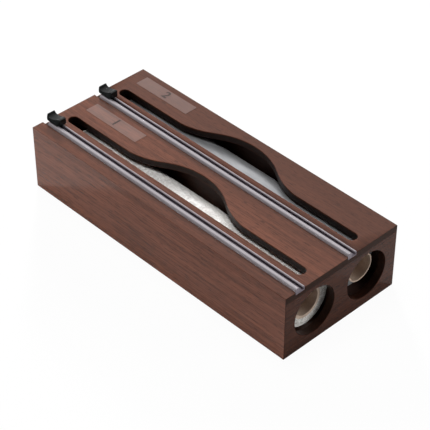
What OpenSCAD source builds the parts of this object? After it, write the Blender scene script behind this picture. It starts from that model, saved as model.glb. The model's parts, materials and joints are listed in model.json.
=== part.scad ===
// Kitchen wrap dispenser: a walnut box with two roll bays under one hinged lid.
// The lid has two dispensing stations, film in front and foil behind. Each has a slot with a
// bell-shaped hand opening, a cutter rail let into the lid, and a cutter that slides along it.
// X runs along the rolls, Y from the front to the hinged back, Z up from the counter.

/* [Rolls] */
// Diameter of the roll of cling film
film_d = 52; // [44:0.2:66]
// Length of the film on its core
film_l = 300; // [280:1:330]
// Outer diameter of the film's core
film_core_d = 34.6; // [30:0.2:42]
// Wall of the film's core
film_core_wall = 3; // [1.5:0.1:4]
// Gap between the film's right end and the right end panel
film_end_gap = 4.3; // [1:0.1:5.5]
// Diameter of the roll of foil
foil_d = 52; // [44:0.2:66]
// Length of the foil on its core
foil_l = 300; // [280:1:320]
// Outer diameter of the foil's cardboard core
foil_core_d = 30.4; // [26:0.2:40]
// Wall of the foil's core
foil_core_wall = 1.3; // [0.8:0.1:3]
// How far the foil's core stands out of the foil at each end
foil_core_overhang = 9; // [2:0.5:15]
// Gap between the foil core's right end and the right end panel
foil_end_gap = 2.5; // [1:0.1:5.5]
// Gap between a core and the sheet wound on it
wind_gap = 0.05; // [0.02:0.01:0.2]
// Room between the larger roll and the bay's wall on each side
roll_side_gap = 4; // [3.5:0.1:6]
// Room between the larger roll and the top of the walls
roll_head_gap = 2.7; // [1:0.1:6]
// How far the film lies behind the middle of its bay
film_set_back = 2.2; // [0:0.1:3]
// How far the foil lies behind the middle of its bay
foil_set_back = 3; // [0:0.1:3.5]
// Room under a roll
roll_rest_gap = 0.3; // [0.1:0.1:1]
// Least room at each end of the longer roll
roll_end_gap = 3; // [3:0.5:8]

/* [Box] */
// Thickness of the four mitred walls
wall_t = 8; // [7:0.5:12]
// Thickness of the board between the bays
divider_t = 7; // [4:0.5:12]
// Thickness of the floor
floor_t = 9; // [5:0.5:12]
// Wood left between an end hole and the line of the bay's side
hole_margin = 5; // [3:0.5:8]
// Height of an end hole's centre above the axis of the larger roll
hole_rise = -0.8; // [-1.5:0.1:1.5]

/* [Lid] */
// Thickness of the lid
lid_t = 7; // [6:0.5:12]
// Gap under the closed lid
lid_gap = 0.1; // [0.1:0.05:0.5]
// How far each station sits nearer the middle than its bay
station_draw_in = 0.65; // [0:0.05:2]
// How far both stations are moved towards the back
station_shift = -2.1; // [-4:0.1:4]
// Width of a slot
slot_w = 10.6; // [6:0.2:13]
// Distance from the end of the bay to the end of a slot
slot_inset = 4.5; // [1:0.5:20]
// Half the length of a hand opening, along its foot
bell_half = 84; // [60:1:95]
// Height of a hand opening, from its foot to its crown
bell_h = 25.6; // [12:0.2:27]
// How far the hand opening's foot lies inside the slot
bell_dip = 0.4; // [0.2:0.1:1]

/* [Cutter rail] */
// Distance from the lid's left end to the rail's left end
rail_left_gap = 7.5; // [1:0.5:9]
// Distance from the lid's right end to the rail's right end
rail_right_gap = 0.5; // [0.2:0.1:4]
// Wood between the rail and the slot
rail_land = 7.15; // [4:0.05:12]
// Radius of the round bead along the rail's front
bead_r = 2.9; // [2:0.1:4]
// Width of the round-topped rib along the rail's back
rib_w = 2; // [1.6:0.1:3]
// Width of the channel's mouth
mouth_w = 3.7; // [2.5:0.1:6]
// Depth of the channel's undercut on each side
undercut = 0.9; // [0.4:0.1:1.1]
// Height of the undercut
undercut_h = 1.4; // [1:0.1:1.8]
// Thickness of the rail's floor
rail_floor_t = 1.2; // [0.8:0.1:1.6]
// Depth of the groove that the rail is let into
rail_depth = 3.5; // [3.2:0.1:4.5]
// Gap between the rail and each side of its groove
rail_fit = 0.1; // [0.05:0.05:0.3]

/* [Sliding cutter] */
// Length of a cutter
slider_l = 18.5; // [14:0.5:30]
// Height of a cutter's ends above the lid
slider_h = 8; // [7.2:0.1:12]
// Distance from the lid's end to the cutter when it is parked
slider_end_gap = 0.5; // [0.2:0.1:3]
// How far the cutter reaches past the back of the rail
slider_overhang = 2.2; // [0.5:0.1:4]
// Gap between the cutter and the top of the rib
slider_lift = 0.4; // [0.2:0.1:1]
// Height of the thumb dip's lowest line above the lid
dip_floor = 5.85; // [5.4:0.05:7]
// Distance from the cutter's left end to the dip's lowest line
dip_x = 5.2; // [4.4:0.1:7]
// Radius of the dip towards the left end
dip_r_left = 3; // [2:0.1:4]
// Radius of the dip towards the right end
dip_r_right = 30; // [20:1:40]
// Radius of the cutter's upper left corner
slider_corner_r = 1.6; // [0.4:0.1:2]
// Radius of the cutter's lower left corner
slider_heel_r = 3; // [1:0.1:4]
// Radius of the cutter's front left corner, seen from above
slider_nose_r = 6; // [2:0.1:8]
// How far the cutter's front lip reaches past the bead's top line
lip_reach = 0.85; // [0.2:0.05:1.5]
// Gap between the lip and the top of the bead
lip_lift = 0.7; // [0.6:0.05:1.2]
// Thickness of the lip's blunt edge
lip_t = 0.6; // [0.3:0.05:1]
// Distance from the cutter's left end to the middle of its neck, shoe and blade
neck_x = 12.2; // [11:0.1:14]
// Length of the neck that runs in the channel
neck_l = 6.5; // [5:0.5:8]
// Gap between the neck and each side of the channel
neck_gap = 0.3; // [0.1:0.05:0.6]
// How far the neck goes up into the cutter
neck_seat = 2; // [1:0.1:2.5]
// Length of the shoe under the undercut
shoe_l = 8.5; // [6:0.5:10]
// Gap between the shoe and each side of the undercut
shoe_side_gap = 0.2; // [0.1:0.05:0.4]
// Gap under the shoe
shoe_rest_gap = 0.1; // [0.05:0.05:0.3]
// Gap over the shoe
shoe_top_gap = 0.2; // [0.1:0.05:0.4]
// Thickness of the blade
blade_t = 0.5; // [0.3:0.1:1]
// Length of the blade
blade_l = 8; // [7:0.5:9.5]
// Height of the blade's back above the lid
blade_top = 4.6; // [3.6:0.1:5]
// Height of the blade's shoulders above the lid
blade_shoulder = 2.2; // [1.6:0.1:3]
// Length of the blade's foot
blade_foot_l = 5.2; // [2:0.1:6]
// Depth of the blade's foot below the lid's face
blade_foot_depth = 0.4; // [0:0.1:0.8]
// Gap around the pieces that are pressed into the cutter
seat_fit = 0.03; // [0.01:0.01:0.1]

/* [Labels] */
// Length of a label
label_l = 72; // [40:1:75]
// Width of a label
label_w = 15; // [8:0.5:18]
// Thickness of a label
label_t = 0.2; // [0.1:0.05:0.5]
// Distance from the lid's left end to a label
label_inset = 14; // [6:0.5:20]
// Distance from the slot's back edge to a label
label_behind = 13.4; // [4:0.1:16]

/* [Hinges] */
// Length of a hinge
leaf_l = 26; // [18:1:40]
// Width of a leaf on the wood
leaf_w = 7.2; // [6.4:0.1:7.6]
// Thickness of a leaf
leaf_t = 0.9; // [0.6:0.1:1.5]
// How far a leaf lies below the wood's face
leaf_sink = 0.1; // [0.05:0.05:0.3]
// Gap around a leaf in its mortise
mortise_fit = 0.1; // [0.05:0.05:0.3]
// Outer radius of a knuckle
knuckle_r = 2; // [1.7:0.1:3]
// Gap between knuckles
knuckle_gap = 0.2; // [0.1:0.05:0.5]
// Radius of the hinge pin
pin_r = 1; // [0.7:0.1:1.2]
// Running clearance of the lid's knuckle on its pin
pin_fit = 0.05; // [0.02:0.01:0.1]
// Gap between the knuckles and the back of the box
barrel_gap = 0.15; // [0.1:0.05:0.5]
// Distance from the box's end to the middle of a hinge
hinge_inset = 60; // [30:1:100]
// Distance between a leaf's two screws
screw_pitch = 16; // [10:0.5:18]
// Radius of a screw's countersunk head
screw_head_r = 1.9; // [1.4:0.1:2.4]
// Radius of a screw's shank
screw_shank_r = 0.9; // [0.6:0.1:1.2]
// Length of a screw
screw_l = 5; // [3:0.5:5.5]
// Gap around a screw
screw_fit = 0.03; // [0.01:0.01:0.1]

/* [Magnets] */
// Radius of a catch magnet
magnet_r = 2.5; // [1.5:0.1:3.5]
// Thickness of a catch magnet
magnet_t = 3; // [1.5:0.1:4]
// How far a magnet lies below the wood's face
magnet_sink = 0.1; // [0.05:0.05:0.3]
// Gap around a magnet in its hole
magnet_fit = 0.03; // [0.01:0.01:0.1]
// Distance from the box's end to a magnet
magnet_inset = 40; // [20:1:100]

/* [Hidden] */
$fn = 96;
// Length by which a cut runs past the face it opens
past = 1;
front = -1;
rear = 1;

// The box grows around the larger roll
roll_d = max(film_d, foil_d);
foil_core_l = foil_l + 2 * foil_core_overhang;
bay_l = max(film_l, foil_core_l) + 2 * roll_end_gap;
bay_w = roll_d + 2 * roll_side_gap;
bay_h = roll_rest_gap + roll_d + roll_head_gap;
box_l = bay_l + 2 * wall_t;
box_w = 2 * bay_w + divider_t + 2 * wall_t;
wall_h = floor_t + bay_h;
bay_pitch = bay_w + divider_t;
hole_r = bay_w / 2 - hole_margin;
hole_z = floor_t + roll_rest_gap + roll_d / 2 + hole_rise;

lid_z = wall_h + lid_gap;
lid_top = lid_z + lid_t;
slot_l = bay_l - 2 * slot_inset;
// Slope of a bell's straight flanks; at twice the slope of its chord the arcs would meet with no straight
flank_slope = 1.8 * atan(bell_h / bell_half);
// The arcs reach a little past the straight flanks and so cut them cleanly
arc_reach = 0.4;
bell_r = (bell_half * sin(flank_slope) - bell_h * cos(flank_slope)) / (2 - 2 * cos(flank_slope)) + arc_reach;
arc_rise = bell_r * (1 - cos(flank_slope));

rail_l = box_l - rail_left_gap - rail_right_gap;
rail_front = -mouth_w / 2 - 2 * bead_r;
rail_w = 2 * bead_r + mouth_w + rib_w;
channel_floor = rail_floor_t - rail_depth;
// Distance from the middle of the slot to the middle of the channel in front of it
channel_ahead = slot_w / 2 + rail_land + rib_w + mouth_w / 2;

slider_under = rib_w / 2 + slider_lift;
slider_front = neck_gap - mouth_w / 2;
slider_back = mouth_w / 2 + rib_w + slider_overhang;
lip_front = -mouth_w / 2 - bead_r - lip_reach;
lip_under = bead_r + lip_lift;
// The sole slopes up from the channel's middle to the lip, and the brow from the lip to the upper front edge
sole_slope = (slider_under - lip_under) / lip_front;
brow_slope = (slider_h - lip_under - lip_t) / (slider_front - lip_front);
// Where the sole and the brow would meet in front of the blunt lip
lip_apex = lip_t / (sole_slope + brow_slope);
neck_w = mouth_w - 2 * neck_gap;
shoe_w = mouth_w + 2 * undercut - 2 * shoe_side_gap;
shoe_bottom = channel_floor + shoe_rest_gap;
shoe_top = channel_floor + undercut_h - shoe_top_gap;

hinge_y = box_w / 2 + barrel_gap + knuckle_r;
hinge_z = wall_h + lid_gap / 2;
knuckle_l = leaf_l / 3;
screw_y = box_w / 2 - leaf_w / 2;
magnet_y = (wall_t - box_w) / 2;

walnut = "#4b2c22";
walnut_dark = "#3a231c";
steel = "#b9bcc0";
black_plastic = "#1c1d1f";
rail_metal = "#b7b3bd";
label_film = "#a08a86";
film_white = "#e9ece8";
foil_silver = "#b4b6b8";
kraft = "#a98863";

function bay_y(side) = side * bay_pitch / 2;
function station_y(side) = side * (bay_pitch / 2 - station_draw_in) + station_shift;
function roll_z(d) = floor_t + roll_rest_gap + d / 2;

// Puts a roll's piece on the roll's axis
module at_roll(side, set_back, d) {
    translate([0, bay_y(side) + set_back, roll_z(d)]) children();
}

// Puts a station's piece at the middle of its slot, on the lid's top face
module at_station(side) {
    translate([0, station_y(side), lid_top]) children();
}

// Puts a piece at the middle of a station's channel, on the lid's top face
module at_channel(side) {
    at_station(side) translate([0, -channel_ahead, 0]) children();
}

// Puts a piece at a cutter's parked left end
module at_cutter(side) {
    at_channel(side) translate([slider_end_gap - box_l / 2, 0, 0]) children();
}

// Repeats a piece at both hinges
module at_hinges() {
    for (side = [-1, 1])
        translate([side * (box_l / 2 - hinge_inset), 0, 0]) children();
}

// Repeats a piece at the two screws of both hinges
module at_hinge_screws(z) {
    at_hinges()
        for (side = [-1, 1])
            translate([side * screw_pitch / 2, screw_y, z]) children();
}

// Repeats a piece at both catch magnets
module at_magnets(z) {
    for (side = [-1, 1])
        translate([side * (box_l / 2 - magnet_inset), magnet_y, z]) children();
}

// A cylinder along X, starting at its left end
module bar(r, l) {
    rotate([0, 90, 0]) cylinder(r = r, h = l);
}

// A tube along X, starting at its left end
module tube(r_out, r_in, l) {
    difference() {
        bar(r_out, l);
        translate([-past, 0, 0]) bar(r_in, l + 2 * past);
    }
}

// A long wall seen from above, mitred at both ends
module long_wall(side) {
    linear_extrude(wall_h)
        polygon([
            [-box_l / 2, side * box_w / 2],
            [box_l / 2, side * box_w / 2],
            [bay_l / 2, side * (box_w / 2 - wall_t)],
            [-bay_l / 2, side * (box_w / 2 - wall_t)]
        ]);
}

// An end panel seen from above, mitred at both ends
module end_panel(side) {
    linear_extrude(wall_h)
        polygon([
            [side * box_l / 2, -box_w / 2],
            [side * box_l / 2, box_w / 2],
            [side * bay_l / 2, box_w / 2 - wall_t],
            [side * bay_l / 2, wall_t - box_w / 2]
        ]);
}

// A hinge screw, head down at the origin, with an allowance for the hole it sits in
module hinge_screw(fit) {
    cylinder(r1 = screw_head_r + fit, r2 = screw_shank_r + fit, h = leaf_t);
    cylinder(r = screw_shank_r + fit, h = screw_l + fit);
}

// The space that a leaf needs in the wood above the origin
module mortise() {
    translate([-leaf_l / 2 - mortise_fit, box_w / 2 - leaf_w - mortise_fit, -past])
        cube([leaf_l + 2 * mortise_fit, leaf_w + mortise_fit + past, past + leaf_sink + leaf_t]);
}

// One leaf of a hinge, lying on the wood above the origin, with knuckles at the given thirds of its length
module leaf(thirds, bore_r, axis_z) {
    difference() {
        union() {
            translate([-leaf_l / 2, box_w / 2 - leaf_w, leaf_sink]) cube([leaf_l, leaf_w, leaf_t]);
            for (third = thirds)
                translate([third * knuckle_l - (knuckle_l - knuckle_gap) / 2, 0, 0]) {
                    translate([0, box_w / 2 - past, leaf_sink])
                        cube([knuckle_l - knuckle_gap, hinge_y - box_w / 2 + past, leaf_t]);
                    translate([0, hinge_y, axis_z]) bar(knuckle_r, knuckle_l - knuckle_gap);
                }
        }
        translate([-leaf_l / 2 - past, hinge_y, axis_z]) bar(bore_r, leaf_l + 2 * past);
        for (side = [-1, 1])
            translate([side * screw_pitch / 2, screw_y, leaf_sink]) hinge_screw(screw_fit);
    }
}

// A bell's straight-sided core, from its foot to its crown
module bell_core() {
    foot = (bell_half + bell_h / tan(flank_slope)) / 2;
    polygon([[-foot, 0], [foot, 0], [bell_half - foot, bell_h], [foot - bell_half, bell_h]]);
}

// The bell of a hand opening: a crown arc, straight flanks, and a hollow arc at each foot
module bell_outline() {
    intersection() {
        bell_core();
        translate([0, bell_h - bell_r]) circle(bell_r);
        translate([-bell_half, bell_h - arc_rise]) square([2 * bell_half, arc_rise + past]);
    }
    intersection() {
        bell_core();
        translate([-bell_half, -past]) square([2 * bell_half, bell_h - arc_rise + past]);
    }
    difference() {
        translate([-bell_half, 0]) square([2 * bell_half, arc_rise]);
        for (side = [-1, 1])
            translate([side * bell_half, bell_r]) circle(bell_r);
    }
}

// The opening of one station through the lid: a round-ended slot and the bell behind it
module station_cut() {
    translate([0, 0, -lid_t - past]) {
        linear_extrude(lid_t + 2 * past) {
            square([slot_l - slot_w, slot_w], center = true);
            for (side = [-1, 1])
                translate([side * (slot_l - slot_w) / 2, 0]) circle(slot_w / 2);
        }
        linear_extrude(lid_t + 2 * past)
            translate([0, slot_w / 2 - bell_dip]) bell_outline();
    }
}

// The groove that a rail is let into, open at both ends of the lid
module rail_groove() {
    translate([-box_l / 2 - past, rail_front - rail_fit, -rail_depth])
        cube([box_l + 2 * past, rail_w + 2 * rail_fit, rail_depth + past]);
}

// A rail's section: a round bead in front, an undercut channel, and a round-topped rib behind
module rail_section() {
    difference() {
        union() {
            translate([rail_front, -rail_depth]) square([rail_w, rail_floor_t]);
            translate([rail_front, -rail_depth]) square([2 * bead_r, rail_depth]);
            translate([rail_front + bead_r, 0]) circle(bead_r);
            translate([mouth_w / 2, -rail_depth]) square([rib_w, rail_depth]);
            translate([mouth_w / 2 + rib_w / 2, 0]) circle(rib_w / 2);
        }
        translate([-mouth_w / 2 - undercut, channel_floor])
            square([mouth_w + 2 * undercut, undercut_h]);
    }
}

module rail() {
    translate([rail_left_gap - box_l / 2, 0, 0])
        rotate([90, 0, 90]) linear_extrude(rail_l) rail_section();
}

// The waste at a round corner whose piece lies to the right of the origin and above it
module corner_waste(r) {
    difference() {
        translate([-past, -past]) square(r + past);
        translate([r, r]) circle(r);
    }
}

// A cutter seen from the front: round left corners and a thumb dip, steep on the left and long on the right
module cutter_outline() {
    difference() {
        translate([0, slider_under]) square([slider_l, slider_h - slider_under]);
        translate([dip_x, dip_floor + dip_r_left]) circle(dip_r_left);
        intersection() {
            translate([dip_x, dip_floor + dip_r_right]) circle(dip_r_right);
            translate([dip_x, 0]) square([slider_l, slider_h + past]);
        }
        translate([0, slider_h]) mirror([0, 1]) corner_waste(slider_corner_r);
        translate([0, slider_under]) corner_waste(slider_heel_r);
    }
}

// A cutter seen from above: a well-rounded front left corner and a small round one behind
module cutter_plan() {
    difference() {
        translate([0, lip_front]) square([slider_l, slider_back - lip_front]);
        translate([0, lip_front]) corner_waste(slider_nose_r);
        translate([0, slider_back]) mirror([0, 1]) corner_waste(slider_corner_r);
    }
}

// A cutter's section across the rail, running past its back, its top and its sole
module cutter_section() {
    polygon([
        [lip_front - lip_apex, lip_under + sole_slope * lip_apex],
        [past / sole_slope, slider_under - past],
        [slider_back + past, slider_under - past],
        [slider_back + past, slider_h + past],
        [slider_front + past / brow_slope, slider_h + past]
    ]);
}

// The blade seen from the front, with a slanted edge at each end and an allowance for its slit
module blade_outline(fit) {
    polygon([
        [-blade_l / 2 - fit, blade_top + fit],
        [blade_l / 2 + fit, blade_top + fit],
        [blade_l / 2 + fit, blade_shoulder - fit],
        [blade_foot_l / 2 + fit, -blade_foot_depth - fit],
        [-blade_foot_l / 2 - fit, -blade_foot_depth - fit],
        [-blade_l / 2 - fit, blade_shoulder - fit]
    ]);
}

module blade(fit) {
    translate([neck_x, blade_t / 2 + fit, 0])
        rotate([90, 0, 0]) linear_extrude(blade_t + 2 * fit) blade_outline(fit);
}

// The neck that stands in the channel and seats in the cutter, with an allowance for its socket
module neck(fit) {
    translate([neck_x - neck_l / 2 - fit, slider_front - fit, shoe_bottom])
        cube([neck_l + 2 * fit, neck_w + 2 * fit, slider_under + neck_seat + fit - shoe_bottom]);
}

module slider_body() {
    difference() {
        intersection() {
            translate([0, slider_back + past, 0])
                rotate([90, 0, 0]) linear_extrude(slider_back - lip_front + 2 * past) cutter_outline();
            linear_extrude(slider_h + past) cutter_plan();
            translate([-past, 0, 0]) rotate([90, 0, 90]) linear_extrude(slider_l + 2 * past) cutter_section();
        }
        neck(seat_fit);
        blade(seat_fit);
    }
}

module slider_shoe() {
    difference() {
        union() {
            neck(0);
            translate([neck_x - shoe_l / 2, -shoe_w / 2, shoe_bottom])
                cube([shoe_l, shoe_w, shoe_top - shoe_bottom]);
        }
        blade(seat_fit);
    }
}

module label() {
    translate([label_inset - box_l / 2, slot_w / 2 + label_behind, 0]) cube([label_l, label_w, label_t]);
}

module base_board() {
    color(walnut)
        translate([-bay_l / 2, wall_t - box_w / 2, 0]) cube([bay_l, box_w - 2 * wall_t, floor_t]);
}

module front_wall() {
    color(walnut)
        difference() {
            long_wall(front);
            at_magnets(wall_h - magnet_sink - magnet_t)
                cylinder(r = magnet_r + magnet_fit, h = magnet_sink + magnet_t + past);
        }
}

module back_wall() {
    color(walnut)
        difference() {
            long_wall(rear);
            at_hinges() translate([0, 0, wall_h]) mirror([0, 0, 1]) mortise();
            at_hinge_screws(wall_h - leaf_sink) mirror([0, 0, 1]) hinge_screw(screw_fit);
        }
}

module left_end_panel() { color(walnut_dark) end_panel(-1); }

// The right end panel has a round hole in front of each roll's end
module right_end_panel() {
    color(walnut_dark)
        difference() {
            end_panel(1);
            for (side = [front, rear])
                translate([bay_l / 2 - past, bay_y(side), hole_z]) bar(hole_r, wall_t + 2 * past);
        }
}

module divider() {
    color(walnut)
        translate([-bay_l / 2, -divider_t / 2, floor_t]) cube([bay_l, divider_t, bay_h]);
}

module box_hinge_leaves() {
    color(steel)
        at_hinges() translate([0, 0, wall_h]) mirror([0, 0, 1]) leaf([-1, 1], pin_r + screw_fit, wall_h - hinge_z);
}

module hinge_pins() {
    color(steel)
        at_hinges() translate([-leaf_l / 2, hinge_y, hinge_z]) bar(pin_r, leaf_l);
}

module box_hinge_screws() {
    color(steel)
        at_hinge_screws(wall_h - leaf_sink) mirror([0, 0, 1]) hinge_screw(0);
}

module box_magnets() {
    color(steel)
        at_magnets(wall_h - magnet_sink - magnet_t) cylinder(r = magnet_r, h = magnet_t);
}

module lid_board() {
    color(walnut)
        difference() {
            translate([-box_l / 2, -box_w / 2, lid_z]) cube([box_l, box_w, lid_t]);
            for (side = [front, rear]) {
                at_station(side) station_cut();
                at_channel(side) rail_groove();
            }
            at_hinges() translate([0, 0, lid_z]) mortise();
            at_hinge_screws(lid_z + leaf_sink) hinge_screw(screw_fit);
            at_magnets(lid_z - past)
                cylinder(r = magnet_r + magnet_fit, h = past + magnet_sink + magnet_t);
        }
}

module film_rail() { color(rail_metal) at_channel(front) rail(); }

module foil_rail() { color(rail_metal) at_channel(rear) rail(); }

module film_label() { color(label_film) at_station(front) label(); }

module foil_label() { color(label_film) at_station(rear) label(); }

module lid_hinge_leaves() {
    color(steel)
        at_hinges() translate([0, 0, lid_z]) leaf([0], pin_r + pin_fit, hinge_z - lid_z);
}

module lid_hinge_screws() {
    color(steel) at_hinge_screws(lid_z + leaf_sink) hinge_screw(0);
}

module lid_magnets() {
    color(steel) at_magnets(lid_z + magnet_sink) cylinder(r = magnet_r, h = magnet_t);
}

module film_slider_body() { color(black_plastic) at_cutter(front) slider_body(); }

module film_slider_shoe() { color(black_plastic) at_cutter(front) slider_shoe(); }

module film_slider_blade() { color(steel) at_cutter(front) blade(0); }

module foil_slider_body() { color(black_plastic) at_cutter(rear) slider_body(); }

module foil_slider_shoe() { color(black_plastic) at_cutter(rear) slider_shoe(); }

module foil_slider_blade() { color(steel) at_cutter(rear) blade(0); }

module film_core() {
    color(kraft)
        at_roll(front, film_set_back, film_d)
            translate([bay_l / 2 - film_end_gap - film_l, 0, 0])
                tube(film_core_d / 2, film_core_d / 2 - film_core_wall, film_l);
}

module film_roll() {
    color(film_white)
        at_roll(front, film_set_back, film_d)
            translate([bay_l / 2 - film_end_gap - film_l, 0, 0])
                tube(film_d / 2, film_core_d / 2 + wind_gap, film_l);
}

module foil_core() {
    color(kraft)
        at_roll(rear, foil_set_back, foil_d)
            translate([bay_l / 2 - foil_end_gap - foil_core_l, 0, 0])
                tube(foil_core_d / 2, foil_core_d / 2 - foil_core_wall, foil_core_l);
}

module foil_roll() {
    color(foil_silver)
        at_roll(rear, foil_set_back, foil_d)
            translate([bay_l / 2 - foil_end_gap - foil_core_l + foil_core_overhang, 0, 0])
                tube(foil_d / 2, foil_core_d / 2 + wind_gap, foil_l);
}

base_board();
front_wall();
back_wall();
left_end_panel();
right_end_panel();
divider();
box_hinge_leaves();
hinge_pins();
box_hinge_screws();
box_magnets();
lid_board();
film_rail();
foil_rail();
film_label();
foil_label();
lid_hinge_leaves();
lid_hinge_screws();
lid_magnets();
film_slider_body();
film_slider_shoe();
film_slider_blade();
foil_slider_body();
foil_slider_shoe();
foil_slider_blade();
film_core();
film_roll();
foil_core();
foil_roll();
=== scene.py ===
import json
import math

import bmesh
import bpy
import numpy as np
from mathutils import Matrix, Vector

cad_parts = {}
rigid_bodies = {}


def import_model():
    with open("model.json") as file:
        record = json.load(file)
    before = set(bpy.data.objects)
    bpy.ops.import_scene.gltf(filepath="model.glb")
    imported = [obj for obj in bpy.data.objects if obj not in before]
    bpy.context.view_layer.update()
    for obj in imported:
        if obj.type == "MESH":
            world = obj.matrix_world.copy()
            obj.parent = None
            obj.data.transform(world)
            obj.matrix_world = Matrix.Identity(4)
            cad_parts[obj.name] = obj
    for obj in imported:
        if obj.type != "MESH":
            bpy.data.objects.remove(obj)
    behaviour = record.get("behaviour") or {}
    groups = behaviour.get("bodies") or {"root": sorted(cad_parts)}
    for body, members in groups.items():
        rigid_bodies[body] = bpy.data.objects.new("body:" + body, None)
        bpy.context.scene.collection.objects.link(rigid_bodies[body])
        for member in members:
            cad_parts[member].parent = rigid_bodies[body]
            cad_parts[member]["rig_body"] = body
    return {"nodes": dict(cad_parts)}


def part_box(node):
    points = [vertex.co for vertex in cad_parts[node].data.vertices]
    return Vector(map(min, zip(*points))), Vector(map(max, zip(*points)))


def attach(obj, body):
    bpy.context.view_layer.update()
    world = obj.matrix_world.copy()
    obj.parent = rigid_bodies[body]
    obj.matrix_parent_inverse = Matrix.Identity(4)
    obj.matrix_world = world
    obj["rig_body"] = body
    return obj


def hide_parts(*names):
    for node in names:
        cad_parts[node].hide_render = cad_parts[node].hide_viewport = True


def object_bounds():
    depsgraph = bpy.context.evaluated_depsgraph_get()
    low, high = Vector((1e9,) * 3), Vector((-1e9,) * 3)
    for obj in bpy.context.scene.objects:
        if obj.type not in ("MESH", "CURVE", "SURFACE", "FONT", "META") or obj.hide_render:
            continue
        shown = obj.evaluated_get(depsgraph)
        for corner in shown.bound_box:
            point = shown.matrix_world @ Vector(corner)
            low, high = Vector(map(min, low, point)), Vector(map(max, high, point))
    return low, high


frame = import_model()
cad_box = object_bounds()


# The box
# Four walnut boards stand round a base board and are mitred and glued at the corners. A thinner board parts
# the two bays. They are planed, rubbed down with fine paper and lacquered to a satin sheen.

class Shade:
    """One value in a material's nodes. Arithmetic on values adds the Math nodes that work it out."""

    def __init__(self, tree, socket=None):
        self.tree = tree
        self.socket = socket

    def fill(self, node, sockets):
        """Gives each named socket of a node its link or its fixed value."""
        for key, value in sockets.items():
            if isinstance(value, Shade):
                self.tree.links.new(value.socket, node.inputs[key])
            else:
                node.inputs[key].default_value = value

    def node(self, kind, settings, sockets, output=0):
        """Adds a node, sets its settings first and its sockets next, and returns one of its outputs."""
        made = self.tree.nodes.new(f"ShaderNode{kind}")
        for key, value in settings.items():
            setattr(made, key, value)
        self.fill(made, sockets)
        return Shade(self.tree, made.outputs[output])

    def math(self, operation, *terms):
        """The result of one operation on these terms."""
        return self.node("Math", {"operation": operation}, dict(enumerate(terms)))

    def __add__(self, other):
        return self.math("ADD", self, other)

    def __sub__(self, other):
        return self.math("SUBTRACT", self, other)

    def __rsub__(self, other):
        return self.math("SUBTRACT", other, self)

    def __mul__(self, other):
        return self.math("MULTIPLY", self, other)

    __radd__ = __add__
    __rmul__ = __mul__

    def step(self, low, high):
        """0 below low, 1 above high, and a smooth rise between them."""
        edges = {"Value": self, "From Min": low, "From Max": high}
        return self.node("MapRange", {"interpolation_type": "SMOOTHSTEP"}, edges)

    def blend(self, low, high):
        """A colour between two, from low at 0 to high at 1."""
        first_colour = 6
        second_colour = 7
        mixed_colour = 2
        colours = {0: self, first_colour: as_colour(low), second_colour: as_colour(high)}
        return self.node("Mix", {"data_type": "RGBA"}, colours, mixed_colour)

    def bump(self, depth):
        """The surface's normal, with this value as a relief that is so many metres deep."""
        return self.node("Bump", {}, {"Height": self, "Distance": depth, "Strength": 1})


def as_colour(colour):
    """A colour with its alpha, or the link that already carries one."""
    return colour if isinstance(colour, Shade) else (*colour, 1)


class Finish(Shade):
    """A new material: a place on the piece to measure from, and the shader that its values go to."""

    def __init__(self, name):
        self.material = bpy.data.materials.new(name)
        self.material.use_nodes = True
        super().__init__(self.material.node_tree)
        self.shader = self.tree.nodes["Principled BSDF"]

    def place(self, scale=(1, 1, 1), shift=(0, 0, 0)):
        """The piece's own coordinates in metres, drawn out and moved."""
        own = self.node("TexCoord", {}, {}, "Object")
        return self.node("Mapping", {}, {"Vector": own, "Scale": scale, "Location": shift})

    def parts(self, shift=(0, 0, 0)):
        """The X, Y and Z of the piece's own coordinates, measured from a place."""
        split = self.node("SeparateXYZ", {}, {0: self.place(shift=np.negative(shift))}).socket.node
        return [Shade(self.tree, output) for output in split.outputs]

    def inside(self, low, high, soft):
        """1 inside a box of the piece's own coordinates and 0 outside it, with a border so soft."""
        mask = 1
        for part, start, end in zip(self.parts(), low, high):
            mask = mask * part.step(start, start + soft) * (1 - part.step(end - soft, end))
        return mask

    def noise(self, place, per_metre, detail=2, twist=0):
        """Cloudy noise from 0 to 1 with so many clouds to the metre."""
        look = {"Vector": place, "Scale": per_metre, "Detail": detail, "Distortion": twist}
        return self.node("TexNoise", {}, look)

    def coat(self, sockets):
        """Fills the shader's sockets and returns the finished material."""
        self.fill(self.shader, sockets)
        return self.material


def sawn(wood, grain, shift, brightness=1, pale_line=None):
    """The colour, fibres and pores of walnut sawn along one axis: slow dark bands and fine fibres drawn out
    along the grain, and short dark pores. grain is the fibres' axis, shift takes each board from another
    place in the log, and brightness makes a board paler or darker. The last argument gives the line where
    the board is palest and the distance over which it gets darker on both sides."""

    def drawn_out(share):
        """The board's coordinates, shortened to a share along the grain, so that noise is long there."""
        return wood.place(np.where(np.arange(3) == grain, share, 1.0), shift)

    band = wood.noise(drawn_out(0.12), per_metre=80, detail=3, twist=0.8).step(0.3, 0.72)
    fibre = wood.noise(drawn_out(0.02), per_metre=750, detail=4).step(0.32, 0.68)
    pore = wood.noise(drawn_out(0.06), per_metre=1700, detail=1).step(0.56, 0.68)
    tone = 0.1 + 0.22 * band + 0.58 * fibre
    if pale_line:
        line, reach = pale_line
        fall = 0.85
        off_pale_line = wood.math("ABSOLUTE", wood.parts()[1 - grain] - line)
        tone = tone * (1 - fall / reach * off_pale_line)
    dark = brightness * np.array((0.080, 0.0262, 0.0140))
    light = brightness * np.array((0.200, 0.068, 0.038))
    hollow = brightness * np.array((0.028, 0.0095, 0.0055))
    pore_share = 0.65
    return (pore_share * pore).blend(tone.blend(dark, light), hollow), fibre, pore


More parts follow.
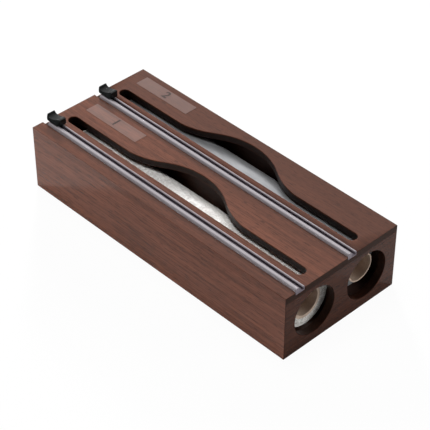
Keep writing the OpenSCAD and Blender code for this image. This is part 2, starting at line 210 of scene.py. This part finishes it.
def walnut(name, grain, shift, brightness=1, pale_line=None, cut_and_shade_boxes=(), lacquer=1.4):
    """A walnut board under satin lacquer that fills the grain. Each box in the list is a box of the board's
    own coordinates and the share by which the faces in it are darker: partly the real darker cut faces and
    end grain, and partly painted shade in recesses and on ends turned from the light. lacquer is the finish's
    refractive index: a thin, soaked-in finish mirrors less than a full one."""
    wood = Finish(name)
    planed, fibre, pore = sawn(wood, grain, shift, brightness, pale_line)
    border = 0.0003
    cut_and_shade = sum(share * wood.inside(low, high, border) for low, high, share in cut_and_shade_boxes)
    # Dark walnut for cut faces, also used as painted shade in recesses and on shaded ends.
    cut_and_shade_colour = (0.014, 0.0065, 0.004)
    return wood.coat({
        "Base Color": cut_and_shade.blend(planed, cut_and_shade_colour),
        "Roughness": 0.09 + 0.06 * fibre + 0.08 * pore + 0.4 * cut_and_shade,
        "IOR": lacquer,
        "Normal": (0.5 * fibre - 0.6 * pore).bump(depth=0.000008),
    })


def eased(node, material, ease=0, share=None):
    """A copy of a CAD node with its flat faces made whole. With an ease, its sharp edges are rounded over,
    as sandpaper leaves them: share takes an edge's middle and gives how much of the ease that edge gets,
    from 0 to 1."""
    same_point = 1e-6
    flat_within = math.radians(0.5)
    sharp_from = math.radians(30)
    work = bmesh.new()
    work.from_mesh(frame["nodes"][node].data)
    bmesh.ops.remove_doubles(work, verts=work.verts, dist=same_point)
    bmesh.ops.dissolve_limit(work, angle_limit=flat_within, verts=work.verts, edges=work.edges)
    weight = work.edges.layers.float.new("bevel_weight_edge")
    for edge in work.edges:
        sharp = edge.calc_face_angle(0) > sharp_from
        edge.smooth = not sharp
        middle = (edge.verts[0].co + edge.verts[1].co) / 2
        edge[weight] = share(middle) if ease and sharp else 0
    mesh = bpy.data.meshes.new(f"{node}_eased")
    work.to_mesh(mesh)
    work.free()
    mesh.shade_smooth()
    mesh.set_sharp_from_angle(angle=sharp_from)
    piece = stand_in(mesh, material, node)
    if ease:
        bevel = piece.modifiers.new("eased edges", "BEVEL")
        bevel.width = ease
        bevel.segments = 3
        bevel.limit_method = "WEIGHT"
        bevel.harden_normals = True
        bevel.use_clamp_overlap = False
    return piece


def add_piece(mesh, material, node):
    """Puts a new mesh in the scene, on the body that a CAD node rides on."""
    piece = bpy.data.objects.new(mesh.name, mesh)
    bpy.context.scene.collection.objects.link(piece)
    mesh.materials.clear()
    mesh.materials.append(material)
    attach(piece, frame["nodes"][node]["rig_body"])
    return piece


def stand_in(mesh, material, node):
    """Puts a new mesh in the scene in place of a CAD node."""
    piece = add_piece(mesh, material, node)
    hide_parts(node)
    return piece


def dress(node, material):
    """Gives a CAD node that keeps its own shape a better material."""
    slots = frame["nodes"][node].data.materials
    slots.clear()
    slots.append(material)


along_x = 0
along_y = 1
board_ease = 0.0006
on_plane = 0.00001
margin = 0.0004
base_low, base_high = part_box("base_board")
panel_low, panel_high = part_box("right_end_panel")
# The inner faces of the bays are painted darker as shade.
bay_shade = 0.75
bays = (
    (base_low.x - margin, base_low.y - margin, base_low.z + margin),
    (base_high.x + margin, base_high.y + margin, panel_high.z - margin),
    bay_shade,
)
hole_side = 0.009
hole_head = 0.003
hole_rim = 0.0005
hole_foot = 0.004
hole_top = panel_high.z - hole_head
# The hole walls are darker, partly as cut faces and partly as painted shade in the holes.
hole_cut_and_shade = 0.5
hole_walls = (
    (base_high.x + margin, panel_low.y + hole_side, hole_foot),
    (panel_high.x - hole_rim, panel_high.y - hole_side, hole_top),
    hole_cut_and_shade,
)
box_boards = walnut("walnut_boards", along_x, shift=(0, 0, 0), cut_and_shade_boxes=[bays])
left_end = walnut("walnut_left_end", along_y, shift=(0.5, 0.8, 0.3), cut_and_shade_boxes=[bays])
# The right end board is painted at about a third of the others' brightness: painted shade on that end.
shaded_right_end = walnut(
    "walnut_right_end", along_y, shift=(0.3, 0.1, 0.2),
    brightness=0.36, cut_and_shade_boxes=[bays, hole_walls], lacquer=1.22,
)


def hole_edges(middle):
    """Full ease on the outer edges of the two holes and none elsewhere."""
    return float(abs(middle.x - panel_high.x) < on_plane and hole_foot < middle.z < hole_top)


for board in ("front_wall", "back_wall", "base_board", "divider"):
    eased(board, box_boards)
eased("left_end_panel", left_end)
eased("right_end_panel", shaded_right_end, board_ease, hole_edges)


# The hinges
# Two small butt hinges join the lid to the back wall. Their leaves are stamped from plated steel, let into
# the wood and held by cross-headed screws. The knuckles turn on a plain steel pin.

def plated_steel(name, colour, roughness):
    """Bright plated steel with faint rolling lines along the piece and dull patches from handling."""
    steel = Finish(name)
    lines = steel.noise(steel.place(scale=(0.05, 1, 1)), per_metre=3000, detail=2)
    dullness_and_shade = steel.noise(steel.place(), per_metre=140, detail=3).step(0.35, 0.75)
    dull_share = 0.72
    dull_colour = dull_share * np.array(colour)
    return steel.coat({
        "Base Color": dullness_and_shade.blend(colour, dull_colour),
        "Metallic": 1,
        "Roughness": roughness + 0.10 * lines + 0.12 * dullness_and_shade,
        "Normal": lines.bump(depth=0.00001),
    })


hinge_steel = plated_steel("hinge_steel", colour=(0.56, 0.56, 0.57), roughness=0.26)
for leaves in ("box_hinge_leaves", "lid_hinge_leaves"):
    eased(leaves, hinge_steel)
for node in ("hinge_pins", "box_hinge_screws", "lid_hinge_screws"):
    dress(node, hinge_steel)


# The catch
# A pair of disc magnets is pressed into the front wall, and a pair into the lid over them. They hold the lid
# shut. The discs are nickel-plated.

nickel = plated_steel("magnet_nickel", colour=(0.66, 0.65, 0.62), roughness=0.14)
magnet_ease = 0.0002
for magnets in ("box_magnets", "lid_magnets"):
    eased(magnets, nickel, magnet_ease, lambda middle: 1)


# The lid
# One wide walnut board, seven millimetres thick. The slots, the bell-shaped hand openings and the grooves for
# the rails are routed. The front edge of each slot is well rounded, because the sheet is drawn over it.

lid_low, lid_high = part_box("lid_board")
lid_border = 0.0006
lid_foot_border = 0.0002
# The walls of the slots and hand openings are darker, partly as routed cut faces and partly as painted shade.
slot_cut_and_shade = 0.93
slot_walls = (
    (lid_low.x + lid_border, lid_low.y + lid_border, lid_low.z + lid_foot_border),
    (lid_high.x - lid_border, lid_high.y - lid_border, lid_high.z - lid_border),
    slot_cut_and_shade,
)
# The lid's end faces are darker, partly as end grain and partly as painted shade.
end_grain_and_shade = 0.9
whole_board = ((-1, -1, -1), (1, 1, 1), end_grain_and_shade)
lid_log = (0.2, 0.9, 0.1)
lid_pale_line = (-0.022, 0.085)
lid_wood = walnut("walnut_lid", along_x, lid_log, pale_line=lid_pale_line, cut_and_shade_boxes=[slot_walls])
lid_ends = walnut("walnut_lid_ends", along_x, lid_log, cut_and_shade_boxes=[whole_board], lacquer=1.2)
slot_ease = 0.0012
slot_turn = 0.005
rail_to_slot = 0.00715
groove_lines = [corner.y for rail in ("film_rail", "foil_rail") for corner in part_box(rail)]
slot_lines = [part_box(rail)[1].y + rail_to_slot for rail in ("film_rail", "foil_rail")]


def lid_edges(middle):
    """Full ease on the slots' front edges, falling off round their ends, less on the other upper edges and
    none on the edges of the rail grooves."""
    edge_reach = 0.001
    groove_reach = 0.0002
    end_share = 0.2
    far = 1
    at_groove = min(abs(middle.y - line) for line in groove_lines) < groove_reach
    if abs(middle.z - lid_high.z) > on_plane or at_groove:
        return 0
    if abs(middle.x) > lid_high.x - edge_reach:
        return end_share
    behind = min(max(middle.y - line, 0) if middle.y > line - edge_reach else far for line in slot_lines)
    return max(board_ease / slot_ease, 1 - behind / slot_turn)


lid = eased("lid_board", lid_wood, slot_ease, lid_edges)
lid.data.materials.append(lid_ends)
lid_faces = lid.data.polygons
face_middles = np.empty(3 * len(lid_faces))
lid_faces.foreach_get("center", face_middles)
at_end = np.abs(face_middles[::3]) > lid_high.x - on_plane
lid_faces.foreach_set("material_index", at_end.astype(np.int32))


# The cutter rails
# Each rail is one aluminium extrusion with a round bead in front, an undercut channel and a thin rib behind.
# It is let into the lid. The smooth bead holds the sheet while it is cut.

def drawn_rail(name, top, end):
    """A smooth extrusion with fine die lines along its length and a few soft rubbed places. The channel,
    which lies below the top, and the sawn end are dull, and both are painted dark as shade."""
    rail = Finish(name)
    own, up = rail.parts()[::2]
    lines = rail.noise(rail.place(scale=(0.01, 1, 1)), per_metre=5000, detail=2)
    rubbed = rail.noise(rail.place(scale=(0.2, 1, 1)), per_metre=60, detail=3).step(0.4, 0.7)
    drawn = rubbed.blend((0.54, 0.50, 0.53), (0.475, 0.437, 0.465))
    # Painted shade: a dark, dull colour for the channel and the sawn end.
    dullness_and_shade = (0.17, 0.145, 0.17)
    mouth_depth = 0.0006
    above_channel = up.step(top - mouth_depth, top)
    burr = 0.0002
    sawn_off = own.step(end - 2 * burr, end - burr)
    unshaded = above_channel * (1 - sawn_off)
    return rail.coat({
        "Base Color": unshaded.blend(dullness_and_shade, drawn),
        "Metallic": 0.75 * unshaded,
        "Roughness": 0.32 + 0.06 * lines + 0.05 * rubbed,
        "Normal": lines.bump(depth=0.000006),
    })


rail_finish = drawn_rail("rail_extrusion", top=lid_high.z, end=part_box("film_rail")[1].x)
for rail_node in ("film_rail", "foil_rail"):
    eased(rail_node, rail_finish)


# The sliding cutters
# A black moulded grip with a thumb dip rides on the rail. Its shoe is captive in the undercut channel, and a
# small two-edged steel blade stands in a slit that runs through the shoe into the grip.

def moulded_black(name):
    """Black moulded plastic with a fine spark-eroded texture, a little paler where thumbs have rubbed it."""
    black = Finish(name)
    spark = black.noise(black.place(), per_metre=5200, detail=2)
    rubbed = black.noise(black.place(), per_metre=220, detail=3).step(0.45, 0.75)
    return black.coat({
        "Base Color": rubbed.blend((0.007, 0.008, 0.008), (0.014, 0.015, 0.015)),
        "Roughness": 0.22 + 0.08 * spark,
        "IOR": 1.3,
        "Normal": spark.bump(depth=0.00001),
    })


grip_plastic = moulded_black("cutter_plastic")
blade_steel = plated_steel("blade_steel", colour=(0.62, 0.63, 0.64), roughness=0.18)
grip_ease = 0.00025
grip_clear = 0.0001
grip_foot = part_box("film_slider_body")[0].z + grip_clear


def grip_edges(middle):
    """Full ease on all edges of a grip above its foot."""
    return float(middle.z > grip_foot)


for station in ("film", "foil"):
    eased(f"{station}_slider_body", grip_plastic, grip_ease, grip_edges)
    dress(f"{station}_slider_shoe", grip_plastic)
    dress(f"{station}_slider_blade", blade_steel)


# The labels
# Each bay has a frosted clear sticker behind its slot, cut with round corners and stuck to the lacquer. A
# plain numeral is printed on it.

def frosted_film(name):
    """A thin milky sticker: the lid's own grain seen through a pale veil."""
    film = Finish(name)
    wood = sawn(film, along_x, lid_log, pale_line=lid_pale_line)[0]
    milk = film.noise(film.place(), per_metre=90, detail=2)
    veil = (0.70, 0.60, 0.58)
    veil_share = 0.075 + 0.05 * milk
    return film.coat({
        "Base Color": veil_share.blend(wood, veil),
        "Roughness": 0.26 + 0.08 * milk,
    })


def printed_ink(name):
    """Thin dark ink with small pale gaps where it didn't take."""
    ink = Finish(name)
    gaps = ink.noise(ink.place(), per_metre=2600, detail=2).step(0.58, 0.7)
    return ink.coat({
        "Base Color": gaps.blend((0.035, 0.024, 0.022), (0.10, 0.068, 0.062)),
        "Roughness": 0.5,
    })


def plate(name, low, high, corner_r):
    """A flat plate with round corners: one ring of points round its outline at the foot and one at the top.
    Each quarter of the ring is a quarter circle round a corner's centre. hair is a tiny turn that puts a
    point between two quarters into the next one."""
    count = 32
    hair = 1e-6
    turn = np.linspace(0, 2 * np.pi, count, endpoint=False)
    inner_x = (high.x - low.x) / 2 - corner_r
    inner_y = (high.y - low.y) / 2 - corner_r
    middle = (low + high) / 2
    ring_x = middle.x + np.sign(np.cos(turn + hair)) * inner_x + corner_r * np.cos(turn)
    ring_y = middle.y + np.sign(np.sin(turn + hair)) * inner_y + corner_r * np.sin(turn)
    levels = [np.stack([ring_x, ring_y, np.full(count, z)], axis=-1) for z in (low.z, high.z)]
    foot = np.arange(count)
    next_foot = np.roll(foot, -1)
    top = foot + count
    sides = np.stack([foot, next_foot, next_foot + count, top], axis=-1)
    mesh = bpy.data.meshes.new(name)
    mesh.from_pydata(np.concatenate(levels), [], [*sides.tolist(), foot[::-1].tolist(), top.tolist()])
    return mesh


def numeral(name, character, height, swell, middle):
    """A flat printed character, swollen a little to make it bold, turned into a mesh and then moved so that
    its middle comes to a place."""
    curve = bpy.data.curves.new(name, "FONT")
    curve.body = character
    curve.size = height
    curve.offset = swell
    curve.align_x = "CENTER"
    curve.align_y = "CENTER"
    typed = bpy.data.objects.new(f"{name}_typed", curve)
    bpy.context.scene.collection.objects.link(typed)
    mesh = bpy.data.meshes.new_from_object(typed.evaluated_get(bpy.context.evaluated_depsgraph_get()))
    bpy.data.objects.remove(typed)
    mesh.name = name
    mesh.transform(Matrix.Translation(middle))
    return mesh


label_film = frosted_film("label_film")
label_ink = printed_ink("label_ink")
label_corner_r = 0.0008
numeral_height = 0.014
numeral_swell = 0.0004
glue = 0.00002
for station, character in (("film", "1"), ("foil", "2")):
    label_low, label_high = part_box(f"{station}_label")
    label_low.z += glue
    sticker = plate(f"{station}_sticker", label_low, label_high, label_corner_r)
    stand_in(sticker, label_film, f"{station}_label")
    print_middle = (label_low + label_high) / 2
    print_middle.z = label_high.z + glue
    ink = numeral(f"{station}_numeral", character, numeral_height, numeral_swell, print_middle)
    add_piece(ink, label_ink, f"{station}_label")


# The film roll
# Clear kitchen film is wound on a thick board core. The outer turns cling in small slanting wrinkles, and the
# wound edges show as a pale ring with fine creases.

def tube_grid(name, axis, span, skin, bore, rim, turns, rows):
    """A closed tube round an axis along X: a ring-shaped outline carried round the axis.
    skin and bore give the outer and inner radius at each angle and place along the tube, and rim gives how
    far an end face is sunk at each angle and radius. The outline runs along the skin, in over one face,
    back through the bore and out over the other face."""
    bore_rings = 12
    face_rings = 12
    flatness = 0.3
    angle = np.linspace(0, 2 * np.pi, turns, endpoint=False)[None, :]
    along = np.linspace(span[0], span[1], rows)[:, None]
    back = np.linspace(span[1], span[0], bore_rings)[:, None]
    share = np.linspace(0, 1, face_rings + 2)[1:-1, None]
    outer = skin(angle, along) + np.zeros((rows, turns))
    inner = bore(angle, back) + np.zeros((bore_rings, turns))
    right = outer[-1:] + (inner[:1] - outer[-1:]) * share
    left = inner[-1:] + (outer[:1] - inner[-1:]) * share
    sunk = np.sin(np.pi * share) ** flatness
    radius = np.concatenate([outer, right, inner, left])
    x = np.concatenate([
        along + 0 * outer,
        span[1] - sunk * rim(angle, right) + 0 * right,
        back + 0 * inner,
        span[0] + sunk * rim(angle, left) + 0 * left,
    ])
    points = np.stack([x, axis[0] + radius * np.cos(angle), axis[1] + radius * np.sin(angle)], axis=-1)
    return closed_grid(name, points)


def closed_grid(name, points):
    """A mesh of squares over a grid of points that closes on itself both ways."""
    sharp_from = math.radians(50)
    rows, columns = points.shape[:2]
    number = np.arange(rows * columns).reshape(rows, columns)
    down = np.roll(number, -1, axis=0)
    quads = np.stack([number, np.roll(number, -1, axis=1), np.roll(down, -1, axis=1), down], axis=-1)
    mesh = bpy.data.meshes.new(name)
    mesh.from_pydata(points.reshape(-1, 3), [], quads.reshape(-1, 4))
    mesh.shade_smooth()
    mesh.set_sharp_from_angle(angle=sharp_from)
    return mesh


def ripples(rng, count, waves, slope):
    """A sum of slanting sine waves round and along a roll, as a function of the angle and the place.
    Each has a whole number of waves round the roll, so that the pattern closes."""
    around = rng.integers(waves[0], waves[1], count)
    lean = rng.uniform(slope[0], slope[1], count) * rng.choice([-1, 1], count)
    phase = rng.uniform(0, 2 * np.pi, count)

    def height(angle, along):
        total = 0
        for turns, tilt, start in zip(around, lean, phase):
            total = total + np.sin(turns * angle + 2 * np.pi * tilt * along + start)
        return total / math.sqrt(count)

    return height


def roll_axis(node):
    """The place of a roll's axis in Y and Z, its ends in X, and its outer radius, from its CAD node."""
    low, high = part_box(node)
    return ((low.y + high.y) / 2, (low.z + high.z) / 2), (low.x, high.x), (high.z - low.z) / 2


def off_left_end(own, span):
    """A rise from near 0 at a roll's left end to 1 five centimetres further in."""
    lead = 0.01
    reach = 0.05
    return own.step(span[0] - lead, span[0] + reach)


def cling_film(name, axis, span):
    """Wound film: milky white, with short wrinkles round the roll where the turns cling, and painted darker
    towards its left end as shade. The end faces, where the wound edges show, have short streaks that run out
    from the core."""
    film = Finish(name)
    own, across, up = film.parts((0, *axis))
    cling = film.noise(film.place(scale=(1, 0.4, 0.4)), per_metre=480, detail=3, twist=0.6).step(0.38, 0.64)
    wrinkled = cling.blend((0.80, 0.77, 0.74), (1.0, 0.98, 0.955))
    # Painted shade towards the roll's left end.
    left_end_shade = (0.20, 0.18, 0.17)
    skin = off_left_end(own, span).blend(left_end_shade, wrinkled)
    turn = film.math("ARCTAN2", up, across)
    streaks_per_radian = 9
    streak = film.node("TexNoise", {"noise_dimensions": "1D"}, {"W": streaks_per_radian * turn, "Detail": 4})
    edges = streak.step(0.42, 0.58).blend((0.40, 0.37, 0.33), (1.0, 0.99, 0.96))
    face_start = 0.0012
    face_full = 0.0008
    right_face = own.step(span[1] - face_start, span[1] - face_full)
    left_face = 1 - own.step(span[0] + face_full, span[0] + face_start)
    return film.coat({
        "Base Color": (right_face + left_face).blend(skin, edges),
        "Roughness": 0.42 - 0.20 * cling,
        "Normal": cling.bump(depth=0.0005),
    })


def kraft(name, axis, pitch):
    """Spiral-wound kraft board: paper fibres, and a dark seam that winds along the tube once every pitch."""
    board = Finish(name)
    own, across, up = board.parts((0, *axis))
    half_turn = 0.5
    seam_width = 0.02
    turn = board.math("ARCTAN2", up, across) * (1 / (2 * math.pi))
    seam = board.math("PINGPONG", own * (1 / pitch) + turn, half_turn).step(0, seam_width)
    fibre = board.noise(board.place(scale=(0.35, 1, 1)), per_metre=1500, detail=3)
    paper = fibre.blend((0.40, 0.30, 0.235), (0.60, 0.475, 0.38))
    seam_brown = (0.24, 0.175, 0.13)
    return board.coat({
        "Base Color": seam.blend(seam_brown, paper),
        "Roughness": 0.72 + 0.15 * fibre,
        "Normal": (0.4 * fibre + 0.8 * seam).bump(depth=0.0001),
    })


film_axis, film_span, film_radius = roll_axis("film_roll")
film_core_radius = roll_axis("film_core")[2]
snug = 0.00005
wave_limit = 2
wrinkle = ripples(np.random.default_rng(seed=3), count=9, waves=(12, 34), slope=(40, 130))
wrinkle_sink = 0.0004
wrinkle_height = 0.00018
crease = ripples(np.random.default_rng(seed=4), count=7, waves=(30, 90), slope=(0, 1))
crease_sink = 0.0003
crease_height = 0.00022
creases_per_metre = 400
film_mesh = tube_grid(
    "film_roll_wound", film_axis, film_span,
    skin=lambda angle, along: (
        film_radius - wrinkle_sink + wrinkle_height * np.clip(wrinkle(angle, along), -wave_limit, wave_limit)
    ),
    bore=lambda angle, along: film_core_radius + snug,
    rim=lambda angle, radius: crease_sink + crease_height * crease(angle, creases_per_metre * radius),
    turns=220, rows=360,
)
stand_in(film_mesh, cling_film("cling_film", film_axis, film_span), "film_roll")


def board_core(station, axis, span, outer, wall, pitch):
    """A plain board tube in place of a roll's core: a ring of one radius and wall all along the axis."""
    mesh = tube_grid(
        f"{station}_core_board", axis, span,
        skin=lambda angle, along: outer,
        bore=lambda angle, along: outer - wall,
        rim=lambda angle, radius: snug,
        turns=96, rows=40,
    )
    stand_in(mesh, kraft(f"{station}_kraft", axis, pitch), f"{station}_core")


board_core("film", film_axis, film_span, film_core_radius, wall=0.003, pitch=0.11)


# The foil roll
# Aluminium foil is wound tightly on a thin board core that stands out at both ends. The foil is smooth, with
# shallow dents from handling, and its wound edges are dull.

def bright_foil(name, span):
    """Rolled aluminium: bright, with long fine rolling lines and softer blurred patches, and painted darker
    towards its left end as shade."""
    foil = Finish(name)
    lines = foil.noise(foil.place(scale=(0.02, 1, 1)), per_metre=1600, detail=3)
    haze = foil.noise(foil.place(scale=(0.4, 1, 1)), per_metre=90, detail=3).step(0.35, 0.7)
    rolled = haze.blend((0.40, 0.405, 0.42), (0.52, 0.525, 0.54))
    # A darker colour towards the roll's left end: painted shade.
    dullness_and_shade = (0.10, 0.10, 0.10)
    return foil.coat({
        "Base Color": off_left_end(foil.parts()[0], span).blend(dullness_and_shade, rolled),
        "Metallic": 0.5,
        "Roughness": 0.32 + 0.10 * haze + 0.06 * lines,
        "Normal": lines.bump(depth=0.00003),
    })


foil_axis, foil_span, foil_radius = roll_axis("foil_roll")
foil_core_span, foil_core_radius = roll_axis("foil_core")[1:]
dent = ripples(np.random.default_rng(seed=5), count=8, waves=(2, 9), slope=(4, 22))
dent_sink = 0.00012
dent_height = 0.00005
layer = ripples(np.random.default_rng(seed=6), count=6, waves=(3, 12), slope=(0, 1))
layer_sink = 0.0002
layer_height = 0.0001
layers_per_metre = 900
foil_mesh = tube_grid(
    "foil_roll_wound", foil_axis, foil_span,
    skin=lambda angle, along: (
        foil_radius - dent_sink + dent_height * np.clip(dent(angle, along), -wave_limit, wave_limit)
    ),
    bore=lambda angle, along: foil_core_radius + snug,
    rim=lambda angle, radius: layer_sink + layer_height * layer(angle, layers_per_metre * radius),
    turns=200, rows=260,
)
stand_in(foil_mesh, bright_foil("kitchen_foil", foil_span), "foil_roll")
board_core("foil", foil_axis, foil_core_span, foil_core_radius, wall=0.0013, pitch=0.10)


# The studio
# A pale paper sweep with a clean white ground, under soft light from above and the back left and weak fills
# from the front and the right. A long lens looks down on the box's front right corner.

def rays(shade):
    """Three values: 1 on rays from the camera, through glass and off a glossy surface, and 0 on others."""
    names = ("Camera", "Transmission", "Glossy")
    return [shade.node("LightPath", {}, {}, f"Is {name} Ray") for name in names]


world = bpy.data.worlds.new("studio")
bpy.context.scene.world = world
world.use_nodes = True
sky = Shade(world.node_tree)
on_camera, on_glass, on_gloss = rays(sky)
sky_light = 0.06
glow_axis = (-0.40, 0.55, 0.73)
glow_low = 0.12
glow_high = 0.9
direction = sky.node("TexCoord", {}, {}, "Generated")
lean = sky.node("VectorMath", {"operation": "DOT_PRODUCT"}, {0: direction, 1: glow_axis}, "Value")
glow_edge = 0.25
glow_core = 0.95
mirrored = glow_low + (glow_high - glow_low) * lean.step(glow_edge, glow_core)
strength = sky_light + (1 - sky_light) * (on_camera + on_glass) + on_gloss * (mirrored - sky_light)
sky.fill(world.node_tree.nodes["Background"], {"Color": (1, 1, 1, 1), "Strength": strength})

floor_half = 4
floor_drop = -0.0001
floor_corners = [
    (-floor_half, -floor_half, floor_drop),
    (floor_half, -floor_half, floor_drop),
    (floor_half, floor_half, floor_drop),
    (-floor_half, floor_half, floor_drop),
]
floor_mesh = bpy.data.meshes.new("floor")
floor_mesh.from_pydata(floor_corners, [], [(0, 1, 2, 3)])
floor = bpy.data.objects.new("floor", floor_mesh)
bpy.context.scene.collection.objects.link(floor)
paper = Finish("paper_sweep")
paper.fill(paper.shader, {"Base Color": (0.9, 0.9, 0.9, 1), "Roughness": 0.8})
seen, through_glass, in_gloss = rays(paper)
seen_white = (1, 1, 1)
mirrored_white = (0.35, 0.35, 0.35)
white = paper.node("Emission", {}, {"Color": in_gloss.blend(seen_white, mirrored_white), "Strength": 1})
lit = Shade(paper.tree, paper.shader.outputs[0])
seen_share = 0.96
gloss_share = 0.4
whitened = seen_share * (seen + through_glass) + gloss_share * in_gloss
mixed = paper.node("MixShader", {}, {0: whitened, 1: lit, 2: white})
paper.fill(paper.tree.nodes["Material Output"], {"Surface": mixed})
floor_mesh.materials.append(paper.material)


def softbox(name, place, size, watts):
    """A square lamp at a place, turned to face the object. Its own square doesn't show in glossy surfaces."""
    lamp = bpy.data.lights.new(name, "AREA")
    lamp.energy = watts
    lamp.size = size
    holder = bpy.data.objects.new(name, lamp)
    bpy.context.scene.collection.objects.link(holder)
    holder.location = place
    away = holder.location - (cad_box[0] + cad_box[1]) / 2
    holder.rotation_euler = away.to_track_quat("Z", "Y").to_euler()
    holder.visible_glossy = False


softbox("key", (-1.44, 1.09, 0.65), size=0.2, watts=48)
softbox("back", (-1.39, 0.97, 0.93), size=0.3, watts=14)
softbox("top", (-0.3, 0.0, 1.85), size=0.6, watts=15.5)
softbox("front_fill", (-0.75, -1.9, 0.33), size=0.6, watts=23)
softbox("right_fill", (1.45, 0.85, 0.35), size=0.8, watts=16)

view_turn = math.radians(46.216)
view_drop = math.radians(39.54)
view_distance = 1.5
view_centre = np.array([0.0311, -0.0211, 0.0527])
towards_camera = np.array([
    math.sin(view_turn) * math.cos(view_drop),
    -math.cos(view_turn) * math.cos(view_drop),
    math.sin(view_drop),
])
camera_data = bpy.data.cameras.new("camera")
camera_data.lens = 136.9
camera_data.sensor_width = 36
camera = bpy.data.objects.new("camera", camera_data)
bpy.context.scene.collection.objects.link(camera)
camera.location = view_centre + view_distance * towards_camera
camera.rotation_euler = (math.pi / 2 - view_drop, 0, view_turn)
bpy.context.scene.camera = camera
bpy.context.scene.view_settings.view_transform = "Standard"
